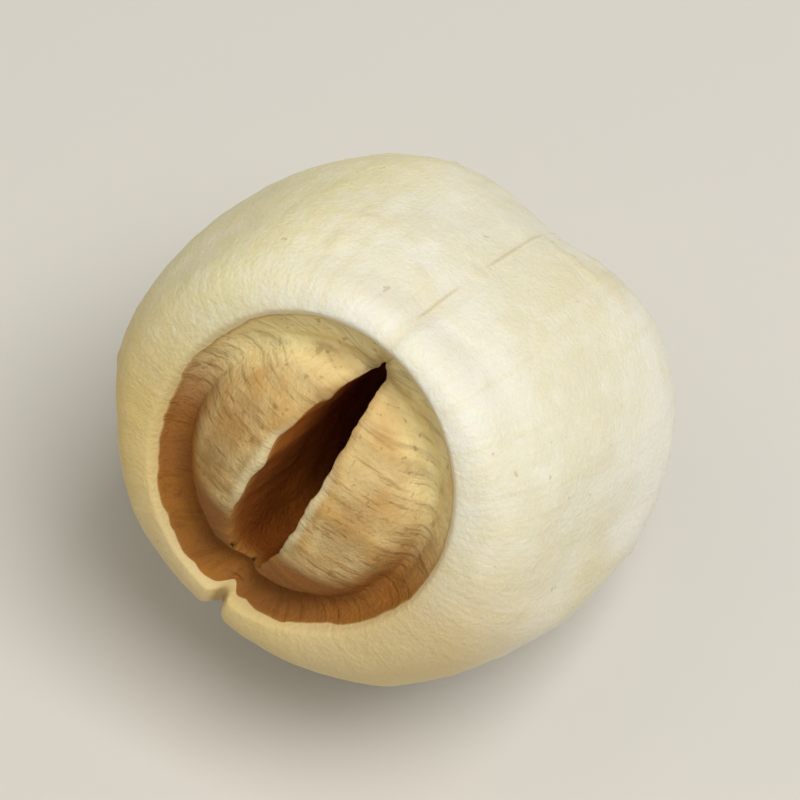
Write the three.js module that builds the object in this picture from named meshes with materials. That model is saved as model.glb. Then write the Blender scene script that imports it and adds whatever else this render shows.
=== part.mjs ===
import * as THREE from 'three';
import { ParametricGeometry } from 'three/addons/geometries/ParametricGeometry.js';
import { mergeVertices } from 'three/addons/utils/BufferGeometryUtils.js';

// One dried, peeled and cored lotus seed, in millimetres. It lies on the plane z = 0 on a small flat, with
// its eye end raised towards -Y.
//
// The seed is drawn in a frame of its own. x runs across the body in the seam plane, where the two halves
// meet, y runs square to that plane, from one half to the other, and z runs down the length of the seed,
// positive towards the eye.

// Body: its widths, the place of its belly on z, and how far it would reach each way from there if the
// eye end weren't ground off at EYE_PLANE. A fullness of 2 is an ellipse, and more is squarer.
const SIDE_WIDTH = 12;
const SEAM_WIDTH = 10.9;
const BELLY = -0.55;
const EYE_REACH = 8.2;
const FAR_REACH = 6.6;
const EYE_FULLNESS = 2.6;
const FAR_FULLNESS = 1.88;
const EYE_PLANE = 5.6;
const RIM_ROUNDING = 0.45;

// Slow swells of the grown body: waves per millimetre on each axis, where each starts, and its height
const SWELLS = [
  { x: 0.62, y: 0, z: 0.41, start: 0.7, height: 0.06 },
  { x: 0, y: 0.78, z: -0.5, start: 2.1, height: 0.06 },
  { x: 1.3, y: -1.1, z: 0.4, start: 0, height: 0.03 },
];

// Faces ground on the flanks: the angle round z from the seam, the angle up from the belly towards the
// eye, and how deep each one cuts. FACE_ROUNDING softens their edges.
const FACES = [
  { round: 62, up: -22, depth: 0.42 },
  { round: 128, up: 16, depth: 0.06 },
  { round: 206, up: -34, depth: 0.46 },
  { round: 292, up: 8, depth: 0.18 },
  { round: 338, up: -48, depth: 0.2 },
];
const FACE_ROUNDING = 0.12;

// Eye: the remaining seed coat lies a step below the ground flesh, sinks in a ring and rises to the
// nipple. COAT_SHIFT moves the coat's edge towards the slit's sharp end.
const EYE_EDGE = 4.15;
const COAT_RADIUS = 3.55;
const COAT_SHIFT = 0.11;
const COAT_WAVE = 0.09;
const COAT_STEP = 0.28;
const COAT_STEP_WIDTH = 0.32;
const RING_RADIUS = 3.0;
const RING_WIDTH = 0.38;
const RING_DEPTH = 0.3;
const NIPPLE_RADIUS = 2.85;
const NIPPLE_RISE = 1.2;

// Slit that parts the nipple in two lips. Its ends taper, more so at the sharp end.
const SLIT_SHARP_END = 3.35;
const SLIT_BLUNT_END = -2.7;
const SLIT_WIDTH = 1.45;
const SLIT_SKEW = 0.3;
const SLIT_TAPER = 1.5;
const SLIT_TAPER_GAIN = 0.35;
const SLIT_TIP = 0.02;
const LIP_ROUNDING = 0.14;

// Seam: a crisp crack over the rim, which spreads as it runs down the flank, in a wide shallow valley
const CRACK_DEPTH = 0.36;
const CRACK_AT_SHARP_END = 0.35;
const CRACK_WIDTH = 0.18;
const CRACK_SPREAD = 0.09;
const CRACK_RUN = 4.2;
const VALLEY_DEPTH = 0.58;
const VALLEY_WIDTH = 2.5;
const VALLEY_START = 1.3;

// Hole at the far end, drawn in like a purse, and the hollow that joins it to the slit
const HOLE_RADIUS = 0.85;
const HOLE_LIP = 0.35;
const HOLE_DEPTH = 2.1;
const DIMPLE_DEPTH = 0.16;
const DIMPLE_WIDTH = 1.1;
const PUCKERS = 7;
const PUCKER_DEPTH = 0.07;
const PUCKER_SHIFT = 1.5;
const HOLLOW_SEAM_RADIUS = 2.5;
const HOLLOW_SIDE_RADIUS = 1.05;
const HOLLOW_BLUNTNESS = 0.7;
const HOLLOW_CLOSES = 0.87;
const SLIT_FORMS_FROM = 0.45;
const SLIT_FORMS_TO = 0.92;

// Pose: how far z is raised above the surface, how far the seam plane leans towards +X, and how deep the
// flat cuts into the body
const RAISED = THREE.MathUtils.degToRad(32);
const LEAN = THREE.MathUtils.degToRad(16);
const FLAT_DEPTH = 0.5;

// Mesh: rows along each stretch of the surface, points round it, and how far these crowd to the seam
const EYE_ROWS = 20;
const FLANK_ROWS = 31;
const HOLE_ROWS = 5;
const HOLLOW_ROWS = 10;
const POINTS_ROUND = 64;
const SEAM_CROWDING = 0.7;
const ROW_CROWDING = 1.2;
const MERGE_DISTANCE = 1e-4;
const TINY = 1e-9;

const SIDE_RADIUS = SIDE_WIDTH / 2;
const FLATTENING = SEAM_WIDTH / SIDE_WIDTH;
const HOLE_BOTTOM = BELLY - FAR_REACH + HOLE_DEPTH;

const { clamp, degToRad, lerp, smoothstep } = THREE.MathUtils;

// A bell of height 1 that falls to about a third at one width from its middle.
function bell(distance, width) {
  return Math.exp(-((distance / width) ** 2));
}

// The value, bent softly so that it stays below a limit.
function softLimit(value, limit, softness) {
  return value - softness * Math.log1p(Math.exp((value - limit) / softness));
}

// A point of the slit's edge, at an angle round it: a lens with one sharp end and one blunt end.
function slitEdge(angle) {
  const middle = (SLIT_SHARP_END + SLIT_BLUNT_END) / 2;
  const half = (SLIT_SHARP_END - SLIT_BLUNT_END) / 2;
  const across = Math.sin(angle);
  const taper = SLIT_TAPER + SLIT_TAPER_GAIN * Math.cos(angle);
  const open = Math.abs(across) ** taper * (1 - SLIT_SKEW * Math.cos(angle));
  const halfWidth = Math.abs(across) < TINY ? 0 : SLIT_TIP + (SLIT_WIDTH / 2) * open;
  return { x: middle + half * Math.cos(angle), y: Math.sign(across) * halfWidth };
}

// Height of the eye over the ground rim: a step down at the wavy edge of the coat, the ring, the nipple
// as a parabola over them, and the lips, which turn down within a lip's rounding of the slit.
function eyeRelief(x, y, fromLip) {
  const radius = Math.hypot(x, y);
  const angle = Math.atan2(y, x);
  const wave = Math.cos(2 * angle + 0.6) + Math.sin(3 * angle) / 2;
  const coatEdge = COAT_RADIUS + COAT_SHIFT * Math.cos(angle) + COAT_WAVE * wave;
  const halfStep = COAT_STEP_WIDTH / 2;
  const step = COAT_STEP * (1 - smoothstep(radius, coatEdge - halfStep, coatEdge + halfStep));
  const ring = RING_DEPTH * bell(radius - RING_RADIUS, RING_WIDTH);
  const nipple = NIPPLE_RISE * Math.max(0, 1 - (radius / NIPPLE_RADIUS) ** 2);
  const turned = LIP_ROUNDING * Math.exp(-fromLip / LIP_ROUNDING);
  return nipple - step - ring - turned;
}

// The plain body at an angle down its profile, 0 at the eye end and PI at the far end. The profile is a
// superellipse on each side of the belly. The radius is a share of the largest.
function bodyProfile(down) {
  const onEyeSide = down < Math.PI / 2;
  const power = 2 / (onEyeSide ? EYE_FULLNESS : FAR_FULLNESS);
  const reach = onEyeSide ? EYE_REACH : -FAR_REACH;
  const z = BELLY + reach * Math.abs(Math.cos(down)) ** power;
  return { radius: Math.sin(down) ** power, z: softLimit(z, EYE_PLANE, RIM_ROUNDING) };
}

// The angle down the profile at which the body has a given share of its largest radius.
function angleAtRadius(share, fullness) {
  return Math.asin(share ** (fullness / 2));
}

// How far the swells lift the skin at a point.
function swell(point) {
  const lift = (wave) => wave.height
    * Math.sin(wave.x * point.x + wave.y * point.y + wave.z * point.z + wave.start);
  return SWELLS.reduce((sum, wave) => sum + lift(wave), 0);
}

// How far the seam draws the skin in. The crack is shallower past the slit's sharp end.
function seamDepth(point) {
  const belowRim = Math.max(0, EYE_PLANE - point.z);
  const pastCoat = smoothstep(Math.abs(point.x), COAT_RADIUS - COAT_STEP_WIDTH, COAT_RADIUS);
  const share = point.x > 0 ? CRACK_AT_SHARP_END : 1;
  const crack = CRACK_DEPTH * share * pastCoat * bell(belowRim, CRACK_RUN)
    * bell(point.y, CRACK_WIDTH + CRACK_SPREAD * belowRim);
  const valley = VALLEY_DEPTH * smoothstep(belowRim, 0, VALLEY_START) * bell(point.y, VALLEY_WIDTH);
  return crack + valley;
}

// How far the dimple and the puckers draw the skin in round the far hole.
function puckerDepth(point) {
  if (point.z > BELLY) {
    return 0;
  }
  const fromHole = Math.max(0, Math.hypot(point.x, point.y) - HOLE_RADIUS);
  const angle = Math.atan2(point.y, point.x);
  const crease = Math.cos(PUCKERS * angle + PUCKER_SHIFT * Math.sin(angle));
  return bell(fromHole, DIMPLE_WIDTH) * (DIMPLE_DEPTH + PUCKER_DEPTH * crease);
}

// Presses a point, given from the middle of the belly, in behind one ground face.
function grind(out, face) {
  const round = degToRad(face.round);
  const up = degToRad(face.up);
  const normal = new THREE.Vector3(Math.cos(up) * Math.cos(round), Math.cos(up) * Math.sin(round),
    Math.sin(up));
  const surface = 1 / Math.hypot(Math.cos(up) / SIDE_RADIUS, Math.sin(up) / FAR_REACH);
  const height = out.dot(normal);
  out.addScaledVector(normal, softLimit(height, surface - face.depth, FACE_ROUNDING) - height);
}

// Gives a point of the plain outer skin its seam, puckers, swells and ground faces.
function shapeSkin(point) {
  const middle = new THREE.Vector3(0, 0, BELLY);
  const out = point.clone().sub(middle);
  const belowRim = Math.max(0, EYE_PLANE - point.z);
  const raised = swell(out) * smoothstep(belowRim, 0, VALLEY_START);
  const inward = seamDepth(point) + puckerDepth(point) - raised;
  out.multiplyScalar(1 - inward / out.length());
  for (const face of FACES) {
    grind(out, face);
  }
  return out.add(middle);
}

// The skin of the seed is one closed surface, like a ring. Going once along it leads from the slit over
// the eye and the rim, down the flank to the far end, into the hole, and up the hollow to the slit. Each
// stretch gives a point from a share of its own length and an angle round z.
function eyeStretch(share, angle) {
  const lip = slitEdge(angle);
  const out = share ** ROW_CROWDING;
  const x = lerp(lip.x, EYE_EDGE * FLATTENING * Math.cos(angle), out);
  const y = lerp(lip.y, EYE_EDGE * Math.sin(angle), out);
  const radius = Math.hypot(x / FLATTENING, y) / SIDE_RADIUS;
  const plain = bodyProfile(angleAtRadius(radius, EYE_FULLNESS));
  const fromLip = Math.hypot(x - lip.x, y - lip.y);
  return shapeSkin(new THREE.Vector3(x, y, plain.z + eyeRelief(x, y, fromLip)));
}

function flankStretch(share, angle) {
  const start = angleAtRadius(EYE_EDGE / SIDE_RADIUS, EYE_FULLNESS);
  const end = Math.PI - angleAtRadius((HOLE_RADIUS + HOLE_LIP) / SIDE_RADIUS, FAR_FULLNESS);
  const plain = bodyProfile(lerp(start, end, share));
  const x = SIDE_RADIUS * FLATTENING * plain.radius * Math.cos(angle);
  const y = SIDE_RADIUS * plain.radius * Math.sin(angle);
  const relief = plain.z > BELLY ? eyeRelief(x, y, EYE_EDGE) : 0;
  return shapeSkin(new THREE.Vector3(x, y, plain.z + relief));
}

function holeStretch(share, angle) {
  const edge = flankStretch(1, angle);
  const turn = clamp(2 * share, 0, 1) * (Math.PI / 2);
  const narrowed = lerp(1, HOLE_RADIUS / (HOLE_RADIUS + HOLE_LIP), Math.sin(turn));
  const rounded = edge.z + HOLE_LIP * (1 - Math.cos(turn));
  const z = lerp(rounded, HOLE_BOTTOM, clamp(2 * share - 1, 0, 1));
  return new THREE.Vector3(narrowed * edge.x, narrowed * edge.y, z);
}

function hollowStretch(share, angle) {
  const lip = slitEdge(angle);
  const wide = Math.sin(Math.PI * Math.min(1, share / HOLLOW_CLOSES)) ** HOLLOW_BLUNTNESS;
  const toSlit = smoothstep(share, SLIT_FORMS_FROM, SLIT_FORMS_TO);
  const x = lerp(HOLE_RADIUS, HOLLOW_SEAM_RADIUS, Math.max(wide, toSlit)) * Math.cos(angle);
  const y = lerp(HOLE_RADIUS, HOLLOW_SIDE_RADIUS, wide) * Math.sin(angle);
  const z = lerp(HOLE_BOTTOM, eyeStretch(0, angle).z, share);
  return new THREE.Vector3(lerp(x, lip.x, toSlit), lerp(y, lip.y, toSlit), z);
}

const STRETCHES = [
  { rows: EYE_ROWS, place: eyeStretch },
  { rows: FLANK_ROWS, place: flankStretch },
  { rows: HOLE_ROWS, place: holeStretch },
  { rows: HOLLOW_ROWS, place: hollowStretch },
];
const ROWS = STRETCHES.reduce((sum, stretch) => sum + stretch.rows, 0);

// Turns a point from the seed's own frame to its lying pose.
function layDown(point) {
  point.applyAxisAngle(new THREE.Vector3(0, 0, 1), Math.PI / 2 - LEAN);
  point.applyAxisAngle(new THREE.Vector3(1, 0, 0), Math.PI / 2 - RAISED);
  return point;
}

// The skin as a function of how far once along it, and how far once round it.
function skin(alongShare, roundShare, target) {
  const turn = 2 * Math.PI * (roundShare % 1);
  const angle = turn - (SEAM_CROWDING / 2) * Math.sin(2 * turn);
  let row = Math.round(alongShare * ROWS) % ROWS;
  let index = 0;
  while (row >= STRETCHES[index].rows) {
    row -= STRETCHES[index].rows;
    index += 1;
  }
  target.copy(layDown(STRETCHES[index].place(row / STRETCHES[index].rows, angle)));
}

// The kernel, set down on z = 0 with what would reach below pressed to a flat, and centred over the origin.
function kernelGeometry() {
  const geometry = new ParametricGeometry(skin, ROWS, POINTS_ROUND);
  geometry.deleteAttribute('normal');
  geometry.deleteAttribute('uv');
  geometry.computeBoundingBox();
  const box = geometry.boundingBox;
  const middle = box.getCenter(new THREE.Vector3());
  geometry.translate(-middle.x, -middle.y, -box.min.z - FLAT_DEPTH);
  const position = geometry.attributes.position;
  for (let i = 0; i < position.count; i += 1) {
    position.setZ(i, Math.max(0, position.getZ(i)));
  }
  const closed = mergeVertices(geometry, MERGE_DISTANCE);
  closed.computeVertexNormals();
  return closed;
}

const kernel = new THREE.Mesh(
  kernelGeometry(),
  new THREE.MeshStandardMaterial({ color: 0xe9dfb4, roughness: 0.62, metalness: 0 }));
kernel.name = 'kernel';

const lotusSeed = new THREE.Group();
lotusSeed.add(kernel);

export default lotusSeed;
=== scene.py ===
# %% [markdown]
# # A dried lotus seed
#
# The object is one lotus seed as it is sold for cooking: dried, peeled by grinding and cored. Two thick
# cream halves meet in a seam. Grinding has taken the brown seed coat off everywhere but in the sunken eye
# at one end, where the coat splits in two lips over a slit. At the other end is the small hole through
# which the bitter shoot was pushed out.
#
# The CAD model is loaded first, because it fixes the size, the place and the pose. The seed made here is
# the same shape, worked out from the same dimensions on a much finer grid, so that it can carry the relief
# of the real skin.

# %% Load the fixed frame
import math

import bpy
import numpy as np
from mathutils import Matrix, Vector


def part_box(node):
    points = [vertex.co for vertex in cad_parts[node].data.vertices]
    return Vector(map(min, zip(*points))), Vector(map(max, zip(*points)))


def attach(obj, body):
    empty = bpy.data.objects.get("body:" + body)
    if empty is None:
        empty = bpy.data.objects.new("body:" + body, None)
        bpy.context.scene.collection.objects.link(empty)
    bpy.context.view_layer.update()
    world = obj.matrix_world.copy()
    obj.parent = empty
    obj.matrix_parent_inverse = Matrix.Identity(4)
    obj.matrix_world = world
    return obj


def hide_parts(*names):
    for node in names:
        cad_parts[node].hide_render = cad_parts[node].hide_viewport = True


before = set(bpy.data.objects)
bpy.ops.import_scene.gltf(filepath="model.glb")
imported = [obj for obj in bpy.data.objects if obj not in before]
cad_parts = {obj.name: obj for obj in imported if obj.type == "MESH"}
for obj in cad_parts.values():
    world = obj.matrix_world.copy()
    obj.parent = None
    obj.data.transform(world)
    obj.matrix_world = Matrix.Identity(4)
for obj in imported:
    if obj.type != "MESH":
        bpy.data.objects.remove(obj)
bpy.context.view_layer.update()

cad_low, cad_high = (np.array(corner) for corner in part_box("kernel"))
MM = 0.001
print("CAD box, mm:", np.round((cad_high - cad_low) / MM, 2))

# %% [markdown]
# ## Camera
#
# The photograph looks down on the seed at about 54 degrees, with its eye turned to the lower left. It was
# taken from far off, so a seed in it shows almost no perspective. A long lens from a short way off gives
# the same flat view, and the near clipping distance has to come down with it, because the whole seed is
# only 13 mm long.

# %% Make the camera
CAMERA_AZIMUTH = math.radians(30.3)
CAMERA_ELEVATION = math.radians(53.9)
LENS_MM = 150
SENSOR_MM = 36
SEED_WIDTH_IN_VIEW = 12.3 * MM
SEED_SHARE_OF_FRAME = 0.68
CLIP_START = 5 * MM
CLIP_END = 5

middle = Vector((cad_low + cad_high) / 2)
toward_camera = Vector((
    math.sin(CAMERA_AZIMUTH) * math.cos(CAMERA_ELEVATION),
    -math.cos(CAMERA_AZIMUTH) * math.cos(CAMERA_ELEVATION),
    math.sin(CAMERA_ELEVATION)))
camera_distance = SEED_WIDTH_IN_VIEW / SEED_SHARE_OF_FRAME * LENS_MM / SENSOR_MM

camera = bpy.data.objects.new("camera", bpy.data.cameras.new("camera"))
bpy.context.collection.objects.link(camera)
camera.location = middle + toward_camera * camera_distance
camera.rotation_euler = (-toward_camera).to_track_quat("-Z", "Y").to_euler()
camera.data.lens = LENS_MM
camera.data.sensor_width = SENSOR_MM
camera.data.clip_start = CLIP_START
camera.data.clip_end = CLIP_END
bpy.context.scene.camera = camera
print("camera distance, mm:", round(camera_distance / MM, 1))

# %% [markdown]
# ## Noise for a grown surface
#
# A grown and ground skin is uneven at every size, and its unevenness never repeats. Sculpting it by hand
# would take long, and a noise texture would only be painted on. Gradient noise worked out on the vertices
# gives real relief, and a fixed seed gives the same relief on each run.

# %% Gradient noise
LATTICE = 48
NOISE_GAIN = 1.6


def noise(points, cell, seed):
    """Each corner of a lattice of cells has a random direction. A point takes, from the eight corners round
    it, the dot product of the corner's direction and the way from the corner to the point, blended by
    6t^5 - 15t^4 + 10t^3 on each axis. cell is the lattice's spacing in millimetres, one number or three.
    The gain brings the result to about -1 to 1."""
    directions = np.random.default_rng(seed).normal(size=(LATTICE, LATTICE, LATTICE, 3))
    directions /= np.linalg.norm(directions, axis=-1, keepdims=True)
    scaled = np.asarray(points) / np.asarray(cell, dtype=float)
    corner = np.floor(scaled).astype(int)
    part = scaled - corner
    blend = part ** 3 * (part * (part * 6 - 15) + 10)
    total = np.zeros(scaled.shape[:-1])
    for step in np.ndindex(2, 2, 2):
        index = (corner + step) % LATTICE
        direction = directions[index[..., 0], index[..., 1], index[..., 2]]
        weight = np.prod(np.where(step, blend, 1 - blend), axis=-1)
        total += weight * np.sum(direction * (part - step), axis=-1)
    return total * NOISE_GAIN


def rough(points, height, cell, seed):
    """The height times the noise of a cell and a seed."""
    return height * noise(points, cell, seed)


some_points = np.random.default_rng(0).uniform(0, 40, (999, 3))
print("noise from", round(float(noise(some_points, 1, 0).min()), 2))

# %% [markdown]
# ## The plain body
#
# The body is a barrel: a superellipse turned round its long axis, a little narrower in the plane of the
# seam, and ground off flat at the eye end. A lathe with a modifier stack could make it, but the eye, the
# seam and the hole all depend on where a point lies on it. So it is written as a function of two
# parameters, as all the rest of the skin is. In the seed's own frame x runs across the body in the seam's
# plane, y from one half to the other, and z along it to the eye. All lengths are in millimetres.

# %% Body profile
SIDE_RADIUS = 12 / 2
FLATTENING = 10.9 / 12
BELLY = -0.55
EYE_REACH, FAR_REACH = 8.2, 6.6
EYE_FULLNESS, FAR_FULLNESS = 2.6, 1.88
EYE_PLANE = 5.6
RIM_ROUNDING = 0.45


def bell(distance, width):
    """A bell of height 1: e to the power of minus the square of distance over width."""
    return np.exp(-(distance / width) ** 2)


def ramp(value, low, high):
    """0 below low, 1 above high, and 3t^2 - 2t^3 between them."""
    t = np.clip((value - low) / (high - low), 0, 1)
    return t * t * (3 - 2 * t)


def soft_limit(value, limit, softness):
    """The value minus softness times log(1 + e^((value - limit) / softness)): it bends over below the
    limit."""
    return value - softness * np.logaddexp(0, (value - limit) / softness)


def mix(start, end, share):
    """start + (end - start) times share."""
    return start + (end - start) * share


def body_profile(down):
    """At an angle down the profile, the radius is sin^p as a share of the largest and z is the belly plus
    reach times |cos|^p, with p = 2 / fullness. z then bends over at the ground eye plane."""
    on_eye_side = down < np.pi / 2
    power = 2 / np.where(on_eye_side, EYE_FULLNESS, FAR_FULLNESS)
    reach = np.where(on_eye_side, EYE_REACH, -FAR_REACH)
    height = BELLY + reach * np.abs(np.cos(down)) ** power
    return np.sin(down) ** power, soft_limit(height, EYE_PLANE, RIM_ROUNDING)


def angle_at_radius(share, fullness):
    """The angle down the profile where the body has a share of its largest radius:
    arcsin(share^(fullness / 2))."""
    return np.arcsin(np.clip(share, 0, 1) ** (fullness / 2))


def stack(x, y, z):
    """Points from three arrays of one shape."""
    return np.stack(np.broadcast_arrays(x, y, z), axis=-1)


print("plain body, mm:", 2 * SIDE_RADIUS, "across,", round(EYE_PLANE - BELLY + FAR_REACH, 2), "long")

# %% [markdown]
# ## Eye, lips and slit
#
# Inside the ground rim the last of the coat lies a step lower. It sinks in a ring and rises to a nipple,
# which has split along the seam's plane in two lips. A boolean cut would leave the slit with plain edges.
# Here the slit's edge is itself a curve, and the grid starts on it, so each lip can be ragged, turned down
# at its edge and nibbled away.

# %% Slit's edge
SLIT_SHARP_END, SLIT_BLUNT_END = 3.35, -2.7
SLIT_MIDDLE = (SLIT_SHARP_END + SLIT_BLUNT_END) / 2
SLIT_HALF = (SLIT_SHARP_END - SLIT_BLUNT_END) / 2
SLIT_WIDTH, SLIT_SKEW = 1.45, 0.3
SLIT_TAPER, SLIT_TAPER_GAIN = 1.5, 0.35
SLIT_TIP, SLIT_TIP_OPENS = 0.02, 8
LIP_RAGGED, LIP_RAGGED_POWER = 0.09, 0.7
# Each roughness is its height or share, its spacing in millimetres and its seed.
LIP_WAVES, LIP_TEARS = (1, 1.3, 11), (0.35, 0.37, 12)
# The two lips read the noise this far apart, so that they are torn differently.
LIPS_APART = 7


def slit_edge(angle):
    """x is the slit's middle plus half its length times cos. y is half its width times |sin|^taper, skewed
    by 1 - skew * cos so that the widest place lies nearer the blunt end, and roughened by noise along the
    lip. A hair's width is added where the slit closes, so that the lips never cross."""
    across = np.sin(angle)
    x = SLIT_MIDDLE + SLIT_HALF * np.cos(angle)
    taper = SLIT_TAPER + SLIT_TAPER_GAIN * np.cos(angle)
    open_share = np.abs(across) ** taper * (1 - SLIT_SKEW * np.cos(angle))
    along_lip = stack(x, LIPS_APART * np.sign(across), 0 * x)
    ragged = rough(along_lip, *LIP_WAVES) + rough(along_lip, *LIP_TEARS)
    torn = LIP_RAGGED * ragged * np.minimum(1, open_share) ** LIP_RAGGED_POWER
    tip = SLIT_TIP * np.minimum(1, SLIT_TIP_OPENS * np.abs(across))
    return x, np.sign(across) * (tip + np.maximum(SLIT_WIDTH / 2 * open_share + torn, 0))


print("slit, mm:", round(2 * SLIT_HALF, 2), "long")

# %% Relief of the eye
EYE_EDGE = 4.15
COAT_RADIUS, COAT_SHIFT = 3.55, 0.11
COAT_WAVE, COAT_WAVE_TURN = 0.09, 0.6
COAT_STEP, COAT_STEP_WIDTH = 0.28, 0.32
RING_RADIUS, RING_WIDTH, RING_DEPTH = 3.0, 0.38, 0.3
NIPPLE_RADIUS, NIPPLE_RISE = 2.85, 1.2
LIP_ROUNDING = 0.14
MARGIN_RAGGED, MARGIN_NOISE_RADIUS = 0.05, 3.5
MARGIN_WAVES, MARGIN_TEARS = (1, 0.9, 21), (0.6, 0.35, 22)


def coat_radius(angle):
    """The radius of the middle of the coat's step: a circle, moved towards the slit's sharp end by a
    cosine, with a small wave of two and three lobes."""
    wave = np.cos(2 * angle + COAT_WAVE_TURN) + np.sin(3 * angle) / 2
    return COAT_RADIUS + COAT_SHIFT * np.cos(angle) + COAT_WAVE * wave


def coat_margin(angle):
    """The line where the coat was ground through: the middle of its step, roughened by noise round it."""
    circle = stack(MARGIN_NOISE_RADIUS * np.cos(angle), MARGIN_NOISE_RADIUS * np.sin(angle), 0 * angle)
    return coat_radius(angle) + MARGIN_RAGGED * (rough(circle, *MARGIN_WAVES) + rough(circle, *MARGIN_TEARS))


def eye_relief(x, y, from_lip):
    """Height over the ground rim: the nipple's parabola, minus the coat's step, minus the ring's bell,
    minus the turn of the lip, which falls off as e to the minus distance over the lip's rounding."""
    radius = np.hypot(x, y)
    edge = coat_radius(np.arctan2(y, x))
    step = COAT_STEP * (1 - ramp(radius, edge - COAT_STEP_WIDTH / 2, edge + COAT_STEP_WIDTH / 2))
    ring = RING_DEPTH * bell(radius - RING_RADIUS, RING_WIDTH)
    nipple = NIPPLE_RISE * np.maximum(0, 1 - (radius / NIPPLE_RADIUS) ** 2)
    return nipple - step - ring - LIP_ROUNDING * np.exp(-from_lip / LIP_ROUNDING)


print("coat, mm:", round(2 * COAT_RADIUS, 2), "across, in an eye of", round(2 * EYE_EDGE, 2))

# %% [markdown]
# ## Seam, far hole and ground faces
#
# Where the halves meet, the skin is drawn in. It is a crisp crack over the rim that spreads down the flank
# inside a wide, shallow valley, and at the far end it runs into the hole, round which the skin is puckered
# like a purse. The body swells a little here and there, and the abrasive that peels the seed leaves broad,
# soft faces. All of these move a point of the body in or out, so they are simply worked out one after the
# other. Sculpting them would look the same, but couldn't be set by their real sizes.

# %% Seam and puckers
CRACK_DEPTH, CRACK_AT_SHARP_END = 0.36, 0.35
CRACK_WIDTH, CRACK_SPREAD, CRACK_RUN = 0.18, 0.09, 4.2
VALLEY_DEPTH, VALLEY_WIDTH, VALLEY_START = 0.58, 2.5, 1.3
HOLE_RADIUS, HOLE_LIP, HOLE_DEPTH = 0.85, 0.35, 2.1
DIMPLE_DEPTH, DIMPLE_WIDTH = 0.16, 1.1
PUCKERS, PUCKER_DEPTH, PUCKER_SHIFT = 7, 0.07, 1.5
HOLE_BOTTOM = BELLY - FAR_REACH + HOLE_DEPTH


def crack_share(points):
    """How much of the seam's crack a point has: its run down from the rim times a bell across it, which
    spreads down the flank."""
    below_rim = np.maximum(0, EYE_PLANE - points[..., 2])
    past_coat = ramp(np.abs(points[..., 0]), COAT_RADIUS - COAT_STEP_WIDTH, COAT_RADIUS)
    at_end = np.where(points[..., 0] > 0, CRACK_AT_SHARP_END, 1)
    across = bell(points[..., 1], CRACK_WIDTH + CRACK_SPREAD * below_rim)
    return at_end * past_coat * bell(below_rim, CRACK_RUN) * across


def seam_depth(points):
    """The crack's depth plus the valley's, which is a bell across the seam that starts below the rim."""
    below_rim = np.maximum(0, EYE_PLANE - points[..., 2])
    valley = ramp(below_rim, 0, VALLEY_START) * bell(points[..., 1], VALLEY_WIDTH)
    return CRACK_DEPTH * crack_share(points) + VALLEY_DEPTH * valley


def pucker_depth(points):
    """A bell round the hole times the dimple plus a wave of creases round it."""
    x, y, z = np.moveaxis(points, -1, 0)
    from_hole = np.maximum(0, np.hypot(x, y) - HOLE_RADIUS)
    angle = np.arctan2(y, x)
    crease = np.cos(PUCKERS * angle + PUCKER_SHIFT * np.sin(angle))
    return np.where(z > BELLY, 0, bell(from_hole, DIMPLE_WIDTH) * (DIMPLE_DEPTH + PUCKER_DEPTH * crease))


print("far hole, mm:", 2 * HOLE_RADIUS, "across, with", PUCKERS, "puckers")

# %% Swells and ground faces
SWELLS = np.array([[0.62, 0, 0.41], [0, 0.78, -0.5], [1.3, -1.1, 0.4]])
SWELL_STARTS = np.array([0.7, 2.1, 0])
SWELL_HEIGHTS = np.array([0.06, 0.06, 0.03])
# Each large face is its angle round and its angle up in degrees, and its depth.
FACES = [(62, -22, 0.42), (128, 16, 0.06), (206, -34, 0.46), (292, 8, 0.18), (338, -48, 0.2)]
FACE_ROUNDING = 0.12


def grind(out, round_angle, up_angle, depth, rounding):
    """Presses points, given from the middle of the belly, in behind a plane: each point's height along the
    plane's normal is limited softly at the body's surface minus the depth."""
    level, rise = np.cos(up_angle), np.sin(up_angle)
    normal = np.array([level * np.cos(round_angle), level * np.sin(round_angle), rise])
    surface = 1 / np.hypot(level / SIDE_RADIUS, rise / FAR_REACH)
    height = out @ normal
    return out + (soft_limit(height, surface - depth, rounding) - height)[..., None] * normal


def shape_skin(points):
    """Moves the plain skin in towards the belly's middle by the seam and the puckers, out by the swells,
    and then grinds the large faces."""
    centre = np.array([0, 0, BELLY])
    out = points - centre
    swells = np.sin(out @ SWELLS.T + SWELL_STARTS) @ SWELL_HEIGHTS
    raised = swells * ramp(EYE_PLANE - points[..., 2], 0, VALLEY_START)
    inward = seam_depth(points) + pucker_depth(points) - raised
    out = out * (1 - inward / np.linalg.norm(out, axis=-1))[..., None]
    for round_angle, up_angle, depth in FACES:
        out = grind(out, math.radians(round_angle), math.radians(up_angle), depth, FACE_ROUNDING)
    return out + centre


print("large ground faces:", len(FACES))

# %% [markdown]
# ## One skin like a ring
#
# A cored seed is a solid with a hole right through it, so its skin is one closed surface like a ring. Going
# once along it leads from the slit over the coat, the rim and the flank to the far end, into the hole and
# up the hollow back to the slit. Each stretch is a function of a share of its own length and an angle round
# the seed. The rows are placed so that one of them runs exactly along the coat's margin, which gives the
# coat a crisp, torn edge of its own.

# %% Stretches of the skin
COAT_CROWDING = 1.15
HOLLOW_SEAM_RADIUS, HOLLOW_SIDE_RADIUS = 2.5, 1.05
HOLLOW_BLUNTNESS, HOLLOW_CLOSES = 0.7, 0.87
SLIT_FORMS_FROM, SLIT_FORMS_TO = 0.45, 0.92


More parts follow.
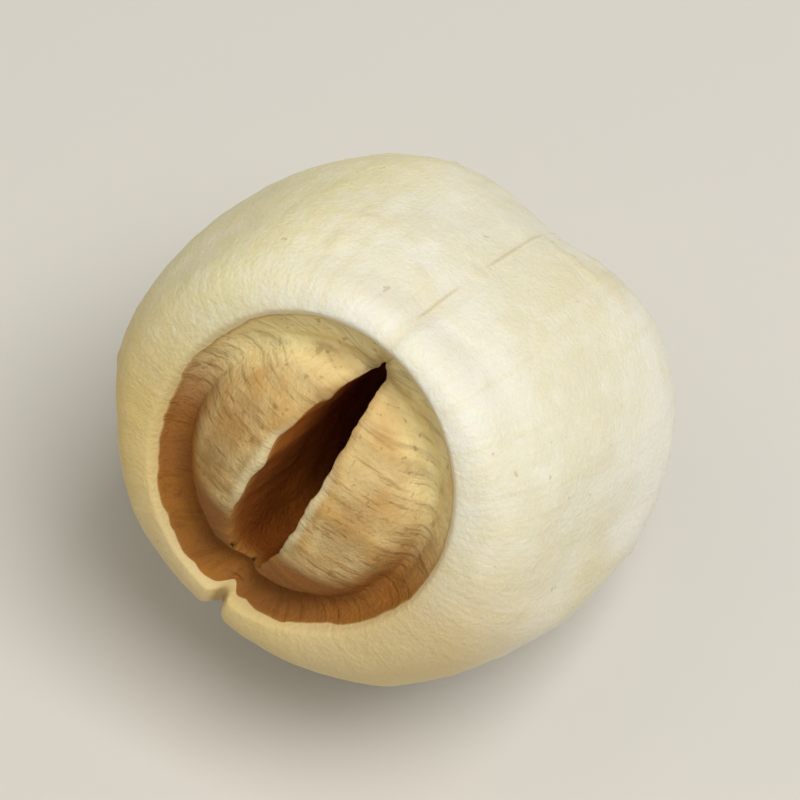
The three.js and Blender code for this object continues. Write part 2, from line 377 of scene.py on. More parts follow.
def eye_points(x, y, angle):
    """Sets points of the eye on the ground-off body at x and y, and adds the eye's relief."""
    share = np.hypot(x / FLATTENING, y) / SIDE_RADIUS
    plain_z = body_profile(angle_at_radius(share, EYE_FULLNESS))[1]
    lip_x, lip_y = slit_edge(angle)
    from_lip = np.hypot(x - lip_x, y - lip_y)
    return shape_skin(stack(x, y, plain_z + eye_relief(x, y, from_lip)))


def coat_stretch(share, angle):
    """Straight lines from the slit's lip to the coat's margin, crowded towards the lip."""
    lip_x, lip_y = slit_edge(angle)
    margin = coat_margin(angle)
    out = share ** COAT_CROWDING
    x = mix(lip_x, margin * np.cos(angle), out)
    return eye_points(x, mix(lip_y, margin * np.sin(angle), out), angle)


def rim_stretch(share, angle):
    """Straight lines from the coat's margin to the outer edge of the eye."""
    margin = coat_margin(angle)
    x = mix(margin * np.cos(angle), EYE_EDGE * FLATTENING * np.cos(angle), share)
    return eye_points(x, mix(margin, EYE_EDGE, share) * np.sin(angle), angle)


def flank_stretch(share, angle):
    """The body's profile from the eye's edge to the far hole, turned round z and flattened in x."""
    start = angle_at_radius(EYE_EDGE / SIDE_RADIUS, EYE_FULLNESS)
    end = np.pi - angle_at_radius((HOLE_RADIUS + HOLE_LIP) / SIDE_RADIUS, FAR_FULLNESS)
    radius, z = body_profile(mix(start, end, share))
    x = SIDE_RADIUS * FLATTENING * radius * np.cos(angle)
    y = SIDE_RADIUS * radius * np.sin(angle)
    relief = np.where(z > BELLY, eye_relief(x, y, EYE_EDGE), 0)
    return shape_skin(stack(x, y, z + relief))


def hole_stretch(share, angle):
    """A quarter turn over the hole's lip in the first half, and then straight in."""
    edge = flank_stretch(np.ones_like(share), angle)
    turn = np.clip(2 * share, 0, 1) * np.pi / 2
    narrowed = mix(1, HOLE_RADIUS / (HOLE_RADIUS + HOLE_LIP), np.sin(turn))
    rounded = edge[..., 2] + HOLE_LIP * (1 - np.cos(turn))
    z = mix(rounded, HOLE_BOTTOM, np.clip(2 * share - 1, 0, 1))
    return stack(narrowed * edge[..., 0], narrowed * edge[..., 1], z)


def hollow_stretch(share, angle):
    """From the hole's bottom to the slit's lip. The section widens as a blunted sine, and then turns into
    the slit."""
    lip_x, lip_y, lip_z = np.moveaxis(coat_stretch(np.zeros_like(share), angle), -1, 0)
    wide = np.sin(np.pi * np.minimum(1, share / HOLLOW_CLOSES)) ** HOLLOW_BLUNTNESS
    to_slit = ramp(share, SLIT_FORMS_FROM, SLIT_FORMS_TO)
    x = mix(HOLE_RADIUS, HOLLOW_SEAM_RADIUS, np.maximum(wide, to_slit)) * np.cos(angle)
    y = mix(HOLE_RADIUS, HOLLOW_SIDE_RADIUS, wide) * np.sin(angle)
    return stack(mix(x, lip_x, to_slit), mix(y, lip_y, to_slit), mix(HOLE_BOTTOM, lip_z, share))


print("hollow, mm:", 2 * HOLLOW_SEAM_RADIUS, "wide in the seam's plane")

# %% Lay the grid over the skin
STRETCHES = [("coat", 84, coat_stretch), ("rim", 12, rim_stretch), ("flank", 138, flank_stretch),
             ("hole", 16, hole_stretch), ("hollow", 34, hollow_stretch)]
POINTS_ROUND = 340
SEAM_CROWDING = 0.6

even_angle = 2 * np.pi * np.arange(POINTS_ROUND)[None, :] / POINTS_ROUND
round_angle = even_angle - SEAM_CROWDING / 2 * np.sin(2 * even_angle)
grids, row_region, row_share = [], [], []
for name, rows, place in STRETCHES:
    share = np.arange(rows)[:, None] / rows
    grids.append(place(share + 0 * round_angle, round_angle + 0 * share))
    row_region += [name] * rows
    row_share += list(share[:, 0])
skin = np.concatenate(grids)
row_region, row_share = np.array(row_region), np.array(row_share)[:, None]
print("skin grid:", skin.shape, "triangles:", 2 * skin.shape[0] * skin.shape[1])

# %% [markdown]
# ## Fine relief of flesh, coat and inner wall
#
# Close up, the ground flesh has small flats, slow dents, pits, a broken hairline where the halves meet, and
# fine wrinkles that run lengthwise and gather at the hole. The papery coat is wrinkled towards the lips and
# creased round the ring, and the hollow's walls are rough. The flats are ground as the large faces are. The
# rest is noise with the real spacing, and moves the vertices along the skin's normal. Bump in a material
# would be cheaper, but would leave the mesh itself smooth. Only what is finer than the grid is left to the
# materials.

# %% Normals and masks of the grid
def grid_normals(grid):
    """The cross product of the steps to the next row and to the next point round, made unit length."""
    along = np.roll(grid, -1, axis=0) - np.roll(grid, 1, axis=0)
    around = np.roll(grid, -1, axis=1) - np.roll(grid, 1, axis=1)
    normal = np.cross(around, along)
    return normal / np.maximum(np.linalg.norm(normal, axis=-1, keepdims=True), 1e-12)


def rows_of(*names):
    """1 on the rows of the named stretches and 0 on the others, as a column."""
    return np.isin(row_region, names).astype(float)[:, None]


lip_x, lip_y = slit_edge(round_angle)
x, y, z = np.moveaxis(skin, -1, 0)
radius = np.hypot(x, y)
from_lip = np.hypot(x - lip_x, y - lip_y)
from_margin = radius - coat_margin(np.arctan2(y, x))
on_eye = rows_of("coat", "rim")
on_coat = rows_of("coat")
on_flesh = rows_of("rim", "flank", "hole")
in_hollow = rows_of("hollow")
print("from the lip to the margin, mm:", round(float((from_lip * on_coat).max()), 2))

# %% Hairline in the seam
HAIRLINE_WIDTH, HAIRLINE_DEPTH = 0.045, 0.03
HAIRLINE_WANDERS, HAIRLINE_SHAKES = (0.12, 2.2, 23), (0.03, 0.5, 24)
HAIRLINE_FREES_IN = 1.5
HAIRLINE_PIECES, HAIRLINE_CLOSED, HAIRLINE_OPEN = (1, 1.6, 25), -0.35, 0.25
HAIRLINE_FAINTEST = 0.15
SIDES_APART = 3

seam = crack_share(skin) * on_flesh
along_seam = stack(0 * z, SIDES_APART * np.sign(x), z)
wander = rough(along_seam, *HAIRLINE_WANDERS) + rough(along_seam, *HAIRLINE_SHAKES)
hairline = bell(y - wander * ramp(from_margin, 0, HAIRLINE_FREES_IN), HAIRLINE_WIDTH) * on_flesh
pieces = ramp(rough(along_seam, *HAIRLINE_PIECES), HAIRLINE_CLOSED, HAIRLINE_OPEN)
hairline *= mix(HAIRLINE_FAINTEST, 1, pieces)
print("points on the hairline:", int((hairline > 0.5).sum()))

# %% Small ground faces
SMALL_FACES = 26
SMALL_FACE_ROUNDING = 0.05
SMALL_FACE_UP = (-0.95, 0.25)
SMALL_FACE_DEPTH = (0.02, 0.09)
SMALL_FACES_START = (1.0, 3.5)

draw = np.random.default_rng(5)
out = skin - np.array([0, 0, BELLY])
ground = out
for _ in range(SMALL_FACES):
    face_round, face_up = draw.uniform(0, 2 * np.pi), draw.uniform(*SMALL_FACE_UP)
    face_depth = draw.uniform(*SMALL_FACE_DEPTH)
    ground = grind(ground, face_round, face_up, face_depth, SMALL_FACE_ROUNDING)
flank_only = (rows_of("flank") * ramp(EYE_PLANE - z, *SMALL_FACES_START))[..., None]
skin = skin + (ground - out) * flank_only
print("deepest small face, mm:", round(float(np.abs(ground - out).max()), 3))

# %% Relief of the flesh
DENTS, SMALL_DENTS, PEEL = (0.05, 2.6, 31), (0.022, 1.1, 32), (0.013, 0.42, 33)
WRINKLE_HEIGHT, WRINKLE_HEIGHT_AT_HOLE = 0.006, 0.03
WRINKLE_SPACING = (0.7, 0.7, 4.0)
HOLE_REACH = 2.2
PIT_DEPTH, PIT_SPACING, PIT_FROM, PIT_TO = 0.05, 0.75, 0.5, 0.85
SMOOTH_BY_MARGIN = 0.8

to_hole = np.where(z < BELLY, bell(np.maximum(0, radius - HOLE_RADIUS), HOLE_REACH), 0)
meridian = stack(np.cos(round_angle) * SIDE_RADIUS, np.sin(round_angle) * SIDE_RADIUS, z)
dents = rough(skin, *DENTS) + rough(skin, *SMALL_DENTS)
peel = rough(skin, *PEEL)
wrinkles = rough(meridian, WRINKLE_HEIGHT + WRINKLE_HEIGHT_AT_HOLE * to_hole, WRINKLE_SPACING, 34)
pits = -PIT_DEPTH * ramp(noise(skin, PIT_SPACING, 35), PIT_FROM, PIT_TO)
flesh_relief = (dents + peel + wrinkles + pits) * ramp(from_margin, 0, SMOOTH_BY_MARGIN)
flesh_relief = flesh_relief - HAIRLINE_DEPTH * hairline
print("flesh relief, mm:", round(float((flesh_relief * on_flesh).min()), 3), "at the deepest")

# %% Relief of the coat
SPOKE_RADIUS = 2.6
COAT_WRINKLES, COAT_CRINKLES = (0.04, (0.34, 0.34, 1.7), 41), (0.02, (0.16, 0.16, 0.9), 42)
RING_CREASES, RING_CREASES_REACH = (0.03, (1.6, 1.6, 0.2), 43), 0.7
COAT_GRAIN = (0.012, 0.17, 44)
COAT_SMOOTH_BY_MARGIN = 0.25
NIBBLE_DEPTH, NIBBLE_SPACING, NIBBLE_FROM, NIBBLE_TO = 0.08, 0.9, 0.1, 0.6
NIBBLE_REACH = 0.14
SLIT_WIDEST = SLIT_MIDDLE - 0.3
BROKEN_DEPTH, BROKEN_LENGTH, BROKEN_REACH = 0.05, 1.0, 0.25
SLIT_OPENS_FROM, SLIT_OPENS_TO, SLIT_END_REACH = 0.12, 0.6, 0.5

spoke = stack(SPOKE_RADIUS * np.cos(round_angle), SPOKE_RADIUS * np.sin(round_angle), radius)
coat_wrinkles = rough(spoke, *COAT_WRINKLES) + rough(spoke, *COAT_CRINKLES)
coat_creases = rough(spoke, *RING_CREASES) * bell(radius - RING_RADIUS, RING_CREASES_REACH)
coat_grain = rough(skin, *COAT_GRAIN)
coat_fade = ramp(-from_margin, 0, COAT_SMOOTH_BY_MARGIN)
on_lips = stack(x, LIPS_APART * np.sign(y), 0 * x)
nibbled = ramp(noise(on_lips, NIBBLE_SPACING, 45), NIBBLE_FROM, NIBBLE_TO)
nibbles = -NIBBLE_DEPTH * nibbled * np.exp(-from_lip / NIBBLE_REACH)
broken = -BROKEN_DEPTH * bell(x - SLIT_WIDEST, BROKEN_LENGTH) * np.exp(-from_lip / BROKEN_REACH)
slit_open = ramp(np.abs(np.sin(round_angle)), SLIT_OPENS_FROM, SLIT_OPENS_TO)
off_slit_ends = 1 - (1 - slit_open) * np.exp(-from_lip / SLIT_END_REACH)
lip_loss = (nibbles + broken) * off_slit_ends
coat_relief = (coat_wrinkles + coat_creases + coat_grain) * coat_fade * off_slit_ends + lip_loss
print("lips lose up to, mm:", round(float(-(lip_loss * on_coat).min()), 3))

# %% Relief of the wall, and all of it along the normal
WALL_WAVES, WALL_TEARS = (0.07, 0.8, 51), (0.03, 0.3, 52)
WALL_ROUGH_FROM, WALL_SMOOTH_TO = (0, 0.1), (0.7, 0.95)
LIP_LOSS_REACH = 0.5

depth_in_hollow = in_hollow * (1 - row_share) * (EYE_PLANE - HOLE_BOTTOM)
wall_relief = rough(skin, *WALL_WAVES) + rough(skin, *WALL_TEARS)
wall_relief *= ramp(row_share, *WALL_ROUGH_FROM) * (1 - ramp(row_share, *WALL_SMOOTH_TO)) * slit_open
wall_relief += lip_loss * np.exp(-depth_in_hollow / LIP_LOSS_REACH)

relief = on_flesh * flesh_relief + on_coat * coat_relief + in_hollow * wall_relief
skin = skin + relief[..., None] * grid_normals(skin)
print("relief, mm:", round(float(relief.min()), 3), "to", round(float(relief.max()), 3))

# %% [markdown]
# ## Lay the seed down
#
# The seed rests on its flank with its eye raised by 32 degrees, so the finished skin is turned from its own
# frame to that pose. Moving the object instead would lose its place on export, so the turn goes into the
# mesh. The skin is then set into the CAD box, and what would reach through the table is pressed to the
# small flat that it rests on.

# %% Turn and settle the skin
RAISED = math.radians(32)
LEAN = math.radians(16)
FLAT_EDGE = 0.03


def turned(points, axis, angle):
    """Turns points about the x or z axis by the right-hand rule."""
    first, second = {"x": (1, 2), "z": (0, 1)}[axis]
    result = points.copy()
    result[..., first] = points[..., first] * math.cos(angle) - points[..., second] * math.sin(angle)
    result[..., second] = points[..., first] * math.sin(angle) + points[..., second] * math.cos(angle)
    return result


laid = turned(turned(skin, "z", math.pi / 2 - LEAN), "x", math.pi / 2 - RAISED)
low, high = laid.min(axis=(0, 1)), laid.max(axis=(0, 1))
box_low, box_high = cad_low / MM, cad_high / MM
laid += np.array([
    (box_low[0] + box_high[0] - low[0] - high[0]) / 2,
    (box_low[1] + box_high[1] - low[1] - high[1]) / 2,
    box_high[2] - high[2]])
laid[..., 2] = (laid[..., 2] + np.hypot(laid[..., 2], FLAT_EDGE)) / 2
print("seed, mm:", np.round(laid.max(axis=(0, 1)) - laid.min(axis=(0, 1)), 2))

# %% Make the mesh
ROWS, COLUMNS = laid.shape[:2]
row = np.arange(ROWS)[:, None]
column = np.arange(COLUMNS)[None, :]
next_row, next_column = (row + 1) % ROWS, (column + 1) % COLUMNS
quads = np.stack([row * COLUMNS + column, row * COLUMNS + next_column,
                  next_row * COLUMNS + next_column, next_row * COLUMNS + column], axis=-1).reshape(-1, 4)
points = laid.reshape(-1, 3) * MM
# A triangle and the origin make a pyramid of volume a . (b x c) / 6, and a quad is two triangles. A volume
# below zero means that the faces look inwards.
corner = points[quads]
crossed = np.cross(corner[:, 1], corner[:, 2]) + np.cross(corner[:, 2], corner[:, 3])
volume = np.einsum("ij,ij->", corner[:, 0], crossed) / 6
if volume < 0:
    quads = quads[:, ::-1]

mesh = bpy.data.meshes.new("lotus_seed")
mesh.from_pydata(points.tolist(), [], quads.tolist())
mesh.polygons.foreach_set("use_smooth", np.ones(len(quads), dtype=bool))
seed = bpy.data.objects.new("lotus_seed", mesh)
bpy.context.collection.objects.link(seed)
print("volume, mm3:", round(abs(volume) / MM ** 3), "quads:", len(quads))

# %% [markdown]
# ## What the materials need to know
#
# Colour on a seed follows its anatomy, and part of it here is painted light and shade. In the ring the coat
# is brown towards the slit's blunt end, partly its stain and partly painted shade on the side turned from
# the lamp, and towards its sharp end it is paler, partly because it is ground so thin that yellow flesh
# shows through and partly as painted light on the side towards the lamp. It is broken off pale beside the
# middle of the slit, and the seam, the rim and the hole keep a trace of brown; round the blunt end the
# darker, yellower flesh is partly that trace and partly painted shade. Painting textures by hand would tie
# them to one mesh.
# Instead each vertex stores how near it is to these places, in the seed's own frame, and the materials turn
# that to colour.

# %% Store the measures on the mesh
OFF_THE_EYE = 9
NEAR_AXIS = 0.1
HALF_YELLOWS = (0.2, 5.0)
BLUNT_END = (-0.7, 0.5)
BLUNT_END_REACH = 3.0
PALE_RING_SPAN = (2.3, 3.0)
DARK_RING_SPAN = (1.9, 2.85)
DARK_RING_CLIMBS, DARK_RING_CLIMBS_AT = 0.9, (0.4, 1)
BROKEN_PART = (0.5, 1.7)
BROKEN_EDGE = (0.02, 0.3)
LIP_STAIN_STARTS, LIP_STAIN_ENDS = (0.35, 0.8), (0.9, 1.7)

to_blunt_end = -x / np.maximum(radius, NEAR_AXIS)
at_blunt_end = ramp(to_blunt_end, *BLUNT_END)
at_widest = 1 - ramp(np.abs(x - SLIT_WIDEST), *BROKEN_PART)
dark_ring_climb = DARK_RING_CLIMBS * ramp(to_blunt_end, *DARK_RING_CLIMBS_AT)
measures = {
    "from_margin_mm": np.where(on_eye > 0, from_margin, OFF_THE_EYE),
    "from_lip_mm": np.where(on_coat > 0, from_lip, OFF_THE_EYE),
    "hollow_depth_mm": depth_in_hollow,
    "hole_depth_mm": rows_of("hole") * row_share * HOLE_DEPTH,
    "seam": seam,
    "hairline": hairline,
    "yellow_half": ramp(y, *HALF_YELLOWS),
    "to_hole": to_hole,
    "relief_mm": relief,
    # Paler ring towards the slit's sharp end: partly thin coat, partly painted light on the side towards the
    # lamp.
    "thin_coat_and_painted_light": ramp(radius, *PALE_RING_SPAN) * (1 - at_blunt_end) * on_coat,
    # Browner ring towards the slit's blunt end: partly stain, partly painted shade on the side turned from
    # the lamp.
    "ring_brown_and_painted_shade": ramp(radius + dark_ring_climb, *DARK_RING_SPAN) * at_blunt_end * on_coat,
    # Nearness to the blunt end below the rim; the flesh turns it into a brown trace that is partly painted
    # shade.
    "blunt_end_nearness": bell(np.maximum(EYE_PLANE - z, 0), BLUNT_END_REACH) * at_blunt_end,
    "lip_stain": ramp(from_lip, *LIP_STAIN_STARTS) * (1 - ramp(from_lip, *LIP_STAIN_ENDS)) * at_widest,
    "broken_lip": (1 - ramp(from_lip, *BROKEN_EDGE)) * at_widest * on_coat,
}
for name, values in measures.items():
    attribute = mesh.attributes.new(name, "FLOAT", "POINT")
    attribute.data.foreach_set("value", (values + 0 * radius).ravel().astype(np.float32))
for name, places in {"seed_mm": skin, "meridian_mm": meridian, "spoke_mm": spoke}.items():
    attribute = mesh.attributes.new(name, "FLOAT_VECTOR", "POINT")
    attribute.data.foreach_set("vector", places.reshape(-1).astype(np.float32))
print("attributes:", len(mesh.attributes))

# %% [markdown]
# ## Helpers for materials
#
# Colours are given as sRGB hex values, and Blender wants them linear, so one function turns them.
# Another adds one node with its settings and links. Layers of colour are then a plain list of masks,
# strengths and colours.

# %% Colour, node and layer helpers
# The colour sockets of a Mix node.
MIX_A, MIX_B, MIX_RESULT = 6, 7, 2


def linear(hex_colour):
    """sRGB to linear light: c / 12.92 below 0.04045, else ((c + 0.055) / 1.055)^2.4, with alpha 1."""
    channels = [int(hex_colour[i:i + 2], 16) / 255 for i in (1, 3, 5)]
    return (*[c / 12.92 if c <= 0.04045 else ((c + 0.055) / 1.055) ** 2.4 for c in channels], 1)


def add_node(tree, kind, settings, inputs):
    """Adds one node. settings are its properties; inputs are values or other nodes' outputs, by name or
    number."""
    node = tree.nodes.new(kind)
    for name, value in settings.items():
        setattr(node, name, value)
    for name, value in inputs.items():
        if isinstance(value, bpy.types.NodeSocket):
            tree.links.new(value, node.inputs[name])
        else:
            node.inputs[name].default_value = value
    return node


def new_material(name):
    """A material with an empty node tree and an output node."""
    material = bpy.data.materials.new(name)
    material.use_nodes = True
    material.node_tree.nodes.clear()
    return material, material.node_tree, add_node(material.node_tree, "ShaderNodeOutputMaterial", {}, {})


def measure(tree, name, low, high):
    """0 where the named attribute is at low and 1 where it is at high, with a soft ramp between."""
    attribute = add_node(tree, "ShaderNodeAttribute", {"attribute_name": name}, {})
    return add_node(tree, "ShaderNodeMapRange", {"interpolation_type": "SMOOTHSTEP"},
                    {"Value": attribute.outputs["Fac"], "From Min": low, "From Max": high}).outputs["Result"]


def pattern(tree, attribute_name, scale, detail, low, high, top=1.0):
    """Noise on a vector attribute, scale in waves per millimetre, ramped from 0 at low to top at high."""
    attribute = add_node(tree, "ShaderNodeAttribute", {"attribute_name": attribute_name}, {})
    stretched = add_node(tree, "ShaderNodeVectorMath", {"operation": "MULTIPLY"},
                         {0: attribute.outputs["Vector"], 1: scale})
    texture = add_node(tree, "ShaderNodeTexNoise", {},
                       {"Vector": stretched.outputs[0], "Scale": 1.0, "Detail": detail, "Roughness": 0.55})
    return add_node(tree, "ShaderNodeMapRange", {"interpolation_type": "SMOOTHSTEP"}, {
        "Value": texture.outputs["Fac"], "From Min": low, "From Max": high, "To Max": top}).outputs["Result"]


def layers(tree, base, stack_of_layers):
    """Lays colours over a base colour, each by a mask and a strength."""
    colour = linear(base)
    for mask, strength, over in stack_of_layers:
        factor = add_node(tree, "ShaderNodeMath", {"operation": "MULTIPLY"}, {0: mask, 1: strength})
        node = add_node(tree, "ShaderNodeMix", {"data_type": "RGBA"},
                        {0: factor.outputs[0], MIX_A: colour, MIX_B: linear(over)})
        colour = node.outputs[MIX_RESULT]
    return colour


print("cream, linear:", np.round(linear("#ebe9da"), 3))

# %% [markdown]
# ## Ground seed flesh
#
# The cream halves are dried, starchy seed flesh, ground with an abrasive: matt with a faint waxy sheen, and
# a little light goes in and comes out warmer. The colour drifts from ivory to straw over 4 or 5 mm, and one
# half is yellower. It has lengthwise veins 0.4 mm apart, yellower flesh at the seam and round the hole, and
# specks of coat 0.4 mm wide that the grinding left. The abrasive's grain is finer than the 0.1 mm at which
# it is drawn here, because it wouldn't show otherwise.

# %% Flesh material
PLANT_IOR = 1.45


def flesh_material():
    """Ivory flesh: matt from grinding, with a faint waxy gloss, straw-coloured drifts, fine scratches,
    painted shade in its dents, and a darker blunt end that is partly a brown trace and partly painted shade.
    """
    material, tree, output = new_material("ground_dried_seed_flesh")
    drift = pattern(tree, "seed_mm", (0.28, 0.28, 0.2), 2.0, 0.4, 0.66)
    mottle = pattern(tree, "seed_mm", (1.5, 1.5, 1.1), 4.0, 0.42, 0.7)
    veins = pattern(tree, "meridian_mm", (2.6, 2.6, 0.22), 3.0, 0.52, 0.72)
    bloom = pattern(tree, "seed_mm", (5.5, 5.5, 5.5), 3.0, 0.5, 0.75)
    specks = pattern(tree, "seed_mm", (2.4, 2.4, 2.4), 2.0, 0.715, 0.755)
    yellow_half = measure(tree, "yellow_half", 0.0, 1.0)
    near_seam = measure(tree, "seam", 0.0, 0.6)
    in_crack = measure(tree, "seam", 0.3, 0.85)
    in_seam = measure(tree, "hairline", 0.2, 0.9)
    near_hole = measure(tree, "to_hole", 0.25, 0.95)
    down_hole = measure(tree, "hole_depth_mm", 0.15, 1.1)
    by_margin = measure(tree, "from_margin_mm", 0.5, 0.0)
    # Darker, yellower flesh round the blunt end: partly a trace of brown, partly painted shade on the side
    # turned from the lamp.
    rim_trace_and_painted_shade = measure(tree, "blunt_end_nearness", 0.0, 1.0)
    # Painted shade: the flesh is painted darker and yellower in the relief's dents.
    painted_shade_in_dents = measure(tree, "relief_mm", 0.0, -0.06)
    colour = layers(tree, "#ebe9da", [
        (yellow_half, 0.65, "#e9dd96"), (drift, 0.5, "#ddd4a6"), (mottle, 0.35, "#f2f0e4"),
        (veins, 0.2, "#d6c994"), (bloom, 0.25, "#f5f3ea"), (painted_shade_in_dents, 0.35, "#d6c690"),
        (near_seam, 0.4, "#d9c88f"), (in_seam, 0.25, "#a5824a"), (near_hole, 0.45, "#d9c68c"),
        (down_hole, 0.85, "#80551f"), (rim_trace_and_painted_shade, 0.7, "#d3b35f"), (in_crack, 0.5, "#8d6530"),
        (by_margin, 0.25, "#d6bf80"), (specks, 0.35, "#b08a50")])
    grain = pattern(tree, "seed_mm", (9, 9, 9), 4.0, 0.2, 0.8, 0.018)
    scratches = pattern(tree, "meridian_mm", (4, 4, 0.5), 4.0, 0.3, 0.7, 0.008)
    height = add_node(tree, "ShaderNodeMath", {"operation": "ADD"}, {0: grain, 1: scratches})
    bump = add_node(tree, "ShaderNodeBump", {}, {
        "Strength": 0.8, "Distance": MM, "Height": height.outputs[0]})
    roughness = add_node(tree, "ShaderNodeMapRange", {}, {"Value": bloom, "To Min": 0.5, "To Max": 0.66})
    shader = add_node(tree, "ShaderNodeBsdfPrincipled", {}, {
        "Base Color": colour, "Roughness": roughness.outputs["Result"], "Normal": bump.outputs["Normal"],
        "IOR": PLANT_IOR, "Specular IOR Level": 0.4, "Subsurface Weight": 0.25,
        "Subsurface Radius": (1.0, 0.62, 0.3), "Subsurface Scale": 0.7 * MM})
    tree.links.new(shader.outputs["BSDF"], output.inputs["Surface"])
    return material


seed.data.materials.append(flesh_material())
print("material:", seed.data.materials[0].name)

# %% [markdown]
# ## Papery seed coat
#
# In the eye the grinding couldn't reach the coat, so it is still there: a thin, dry, tan skin, wrinkled and
# dull. Its blotches are about 1.2 mm wide, and its streaks and fibres run from the lips to the margin, 0.3
# and 0.1 mm apart. Real fibres are finer, and are drawn this coarse so that they show. The ring is brown
# round the slit's blunt end, partly stain and partly painted shade on the side turned from the lamp, and
# yellow round its sharp end, partly thin coat and partly painted light on the side towards the lamp. The
# wrinkles have painted shade in their valleys and a painted highlight on their crests. Beside the middle of
# the slit the coat is broken off to the pale flesh, with a brown stain behind.

# %% Coat material
def coat_material():
    """Tan seed coat: dull and papery, brown in the ring from stain and painted shade, pale at its sharp end
    from thin coat and painted light, with painted shade and highlight on its wrinkles, and broken to pale
    flesh at the lips.
    """
    material, tree, output = new_material("papery_seed_coat")
    blotch = pattern(tree, "seed_mm", (0.8, 0.8, 0.8), 3.0, 0.4, 0.68)
    streaks = pattern(tree, "spoke_mm", (3.2, 3.2, 0.7), 4.0, 0.45, 0.7)
    fibre = pattern(tree, "spoke_mm", (9.0, 9.0, 1.6), 3.0, 0.5, 0.7)
    spots = pattern(tree, "seed_mm", (4.0, 4.0, 4.0), 2.0, 0.62, 0.7)
    # Paler ring at the sharp end: partly thin coat, partly painted light.
    thin_coat_and_painted_light = measure(tree, "thin_coat_and_painted_light", 0.0, 1.0)
    # Brown ring at the blunt end: partly stain, partly painted shade.
    ring_brown_and_painted_shade = measure(tree, "ring_brown_and_painted_shade", 0.0, 1.0)
    edge_line = measure(tree, "from_margin_mm", -0.10, -0.02)
    # Painted shade in the wrinkles' valleys and a painted highlight on their crests.
    painted_shade_in_wrinkles = measure(tree, "relief_mm", 0.0, -0.05)
    painted_highlight_on_wrinkles = measure(tree, "relief_mm", 0.012, 0.05)
    lip = measure(tree, "from_lip_mm", 0.25, 0.02)
    lip_stain = measure(tree, "lip_stain", 0.0, 1.0)
    broken_lip = measure(tree, "broken_lip", 0.0, 1.0)
    colour = layers(tree, "#dabe82", [
        (blotch, 0.45, "#c49a54"), (streaks, 0.35, "#dcc798"), (fibre, 0.3, "#9c7336"),
        (painted_highlight_on_wrinkles, 0.3, "#e2d2a6"), (thin_coat_and_painted_light, 0.9, "#f8eab0"), (ring_brown_and_painted_shade, 0.9, "#905108"),
        (blotch, 0.3, "#b97e2a"), (fibre, 0.25, "#74491a"), (spots, 0.35, "#7d511d"),
        (lip_stain, 0.35, "#a0723a"), (painted_shade_in_wrinkles, 0.4, "#785021"), (edge_line, 0.3, "#a5772f"),
        (lip, 0.35, "#a0763f"), (broken_lip, 0.8, "#e0d0a2")])
    grain = pattern(tree, "seed_mm", (11, 11, 11), 4.0, 0.2, 0.8, 0.02)
    fibres = pattern(tree, "spoke_mm", (9.0, 9.0, 1.6), 3.0, 0.5, 0.7, 0.015)
    height = add_node(tree, "ShaderNodeMath", {"operation": "ADD"}, {0: grain, 1: fibres})
    bump = add_node(tree, "ShaderNodeBump", {}, {
        "Strength": 0.9, "Distance": MM, "Height": height.outputs[0]})
    shader = add_node(tree, "ShaderNodeBsdfPrincipled", {}, {
        "Base Color": colour, "Roughness": 0.78, "Normal": bump.outputs["Normal"], "IOR": PLANT_IOR,
        "Specular IOR Level": 0.3, "Subsurface Weight": 0.06, "Subsurface Radius": (1.0, 0.5, 0.25),
        "Subsurface Scale": 0.4 * MM})
    tree.links.new(shader.outputs["BSDF"], output.inputs["Surface"])
    return material


seed.data.materials.append(coat_material())
print("material:", seed.data.materials[1].name)

# %% [markdown]
# ## Dried wall of the hollow
#
# The halves' inner faces, where the shoot lay, have a brown dried skin with blotches of 0.8 mm. Little light
# gets in there, so the slit and the hole look nearly black from a distance. Close up they are a warm dark
# brown, darker at the slit's blunt end and paler just under the lips.

# %% Wall material
def wall_material():
    """Brown dried inner skin: rough and dull, paler just under the lips where the flesh is broken."""
    material, tree, output = new_material("dried_inner_skin")
    blotch = pattern(tree, "seed_mm", (1.2, 1.2, 1.2), 4.0, 0.35, 0.7)
    below_lip = measure(tree, "hollow_depth_mm", 0.7, 0.05)
    darker_at_blunt_end = measure(tree, "blunt_end_nearness", 0.1, 0.9)
    colour = layers(tree, "#cb7c2c", [
        (blotch, 0.6, "#9c5718"), (darker_at_blunt_end, 0.7, "#82430a"), (below_lip, 0.5, "#bb8c46")])
    grain = pattern(tree, "seed_mm", (8, 8, 8), 4.0, 0.2, 0.8, 0.03)
    bump = add_node(tree, "ShaderNodeBump", {}, {"Strength": 0.9, "Distance": MM, "Height": grain})
    shader = add_node(tree, "ShaderNodeBsdfPrincipled", {}, {
        "Base Color": colour, "Roughness": 0.8, "Normal": bump.outputs["Normal"], "IOR": PLANT_IOR,
        "Specular IOR Level": 0.3})
    tree.links.new(shader.outputs["BSDF"], output.inputs["Surface"])
    return material


seed.data.materials.append(wall_material())
slot_of_region = {"rim": 0, "flank": 0, "hole": 0, "coat": 1, "hollow": 2}
face_slots = np.repeat([slot_of_region[name] for name in row_region], COLUMNS)
mesh.polygons.foreach_set("material_index", face_slots.astype(np.int32))
mesh.update()
print("faces of each material:", np.bincount(face_slots))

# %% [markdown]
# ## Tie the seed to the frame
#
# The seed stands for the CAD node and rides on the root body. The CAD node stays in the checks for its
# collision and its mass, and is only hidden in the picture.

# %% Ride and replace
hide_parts("kernel")
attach(seed, "root")
print("seed rides on the root body")

# %% [markdown]
# ## Floor and light
#
# A plain pale floor shows how the seed rests on its small flat. In the photograph the light is high and
# from the right, so the body's right side is nearly white and the left and lower edges are warm and shaded.
# One large soft lamp gives that, a weak, warmer one from the upper left keeps the shade open, and the world
# adds the rest.

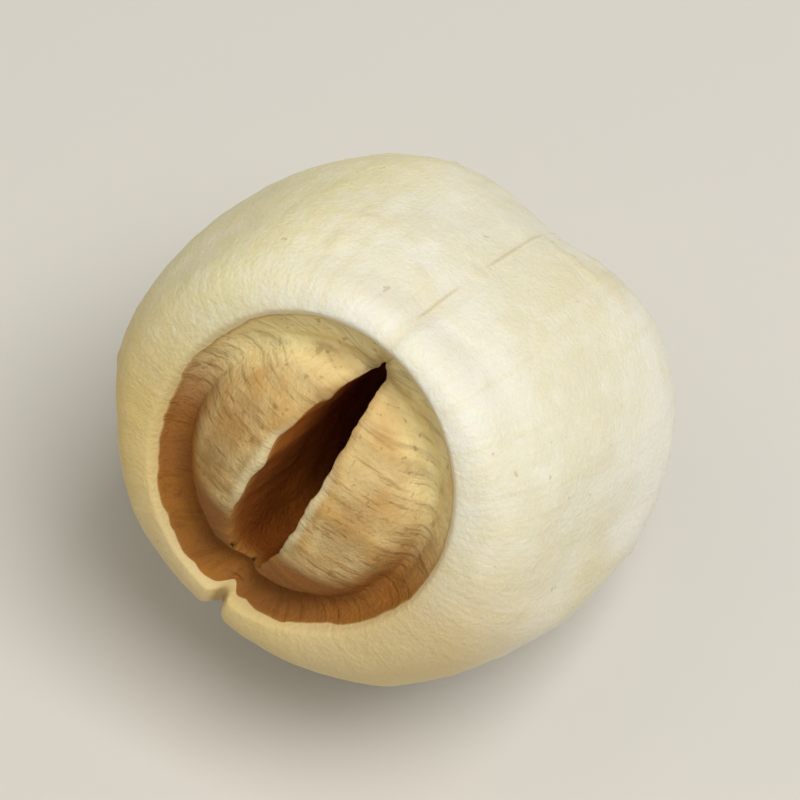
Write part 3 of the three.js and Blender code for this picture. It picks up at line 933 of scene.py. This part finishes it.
# %% Floor
FLOOR_HALF = 0.6
floor_mesh = bpy.data.meshes.new("floor")
floor_corners = [(-FLOOR_HALF, -FLOOR_HALF, 0), (FLOOR_HALF, -FLOOR_HALF, 0), (FLOOR_HALF, FLOOR_HALF, 0),
                 (-FLOOR_HALF, FLOOR_HALF, 0)]
floor_mesh.from_pydata(floor_corners, [], [(0, 1, 2, 3)])
floor = bpy.data.objects.new("floor", floor_mesh)
bpy.context.collection.objects.link(floor)
floor_material, floor_tree, floor_output = new_material("matt_pale_card")
floor_shader = add_node(floor_tree, "ShaderNodeBsdfPrincipled", {}, {
    "Base Color": linear("#d3d0ca"), "Roughness": 0.9, "Specular IOR Level": 0.2})
floor_tree.links.new(floor_shader.outputs["BSDF"], floor_output.inputs["Surface"])
floor_mesh.materials.append(floor_material)
print("floor, m:", 2 * FLOOR_HALF, "wide")

# %% Lights
# Each lamp's way from the seed is right, up and towards the camera. Distance and size are in metres.
LAMPS = [("key", (0.36, 0.34, 0.87), 0.30, 0.20, 0.80, "#fffdfa"),
         ("fill", (-0.55, 0.55, 0.62), 0.35, 0.3, 0.19, "#fff6e0")]
WORLD_COLOUR, WORLD_STRENGTH = "#f0eee9", 0.31

right = Vector((math.cos(CAMERA_AZIMUTH), math.sin(CAMERA_AZIMUTH), 0))
up = toward_camera.cross(right)
for name, (to_right, to_up, to_camera), distance, size, power, tint in LAMPS:
    lamp = bpy.data.objects.new(name, bpy.data.lights.new(name, "AREA"))
    bpy.context.collection.objects.link(lamp)
    way = (right * to_right + up * to_up + toward_camera * to_camera).normalized()
    lamp.location = middle + way * distance
    lamp.rotation_euler = (-way).to_track_quat("-Z", "Y").to_euler()
    lamp.data.size = size
    lamp.data.energy = power
    lamp.data.color = linear(tint)[:3]
    print(name, "lamp from", np.round(way, 2))

world = bpy.data.worlds.new("studio")
bpy.context.scene.world = world
world.use_nodes = True
world.node_tree.nodes.clear()
sky = add_node(world.node_tree, "ShaderNodeBackground", {},
               {"Color": linear(WORLD_COLOUR), "Strength": WORLD_STRENGTH})
add_node(world.node_tree, "ShaderNodeOutputWorld", {}, {"Surface": sky.outputs["Background"]})
bpy.context.scene.view_settings.view_transform = "Standard"
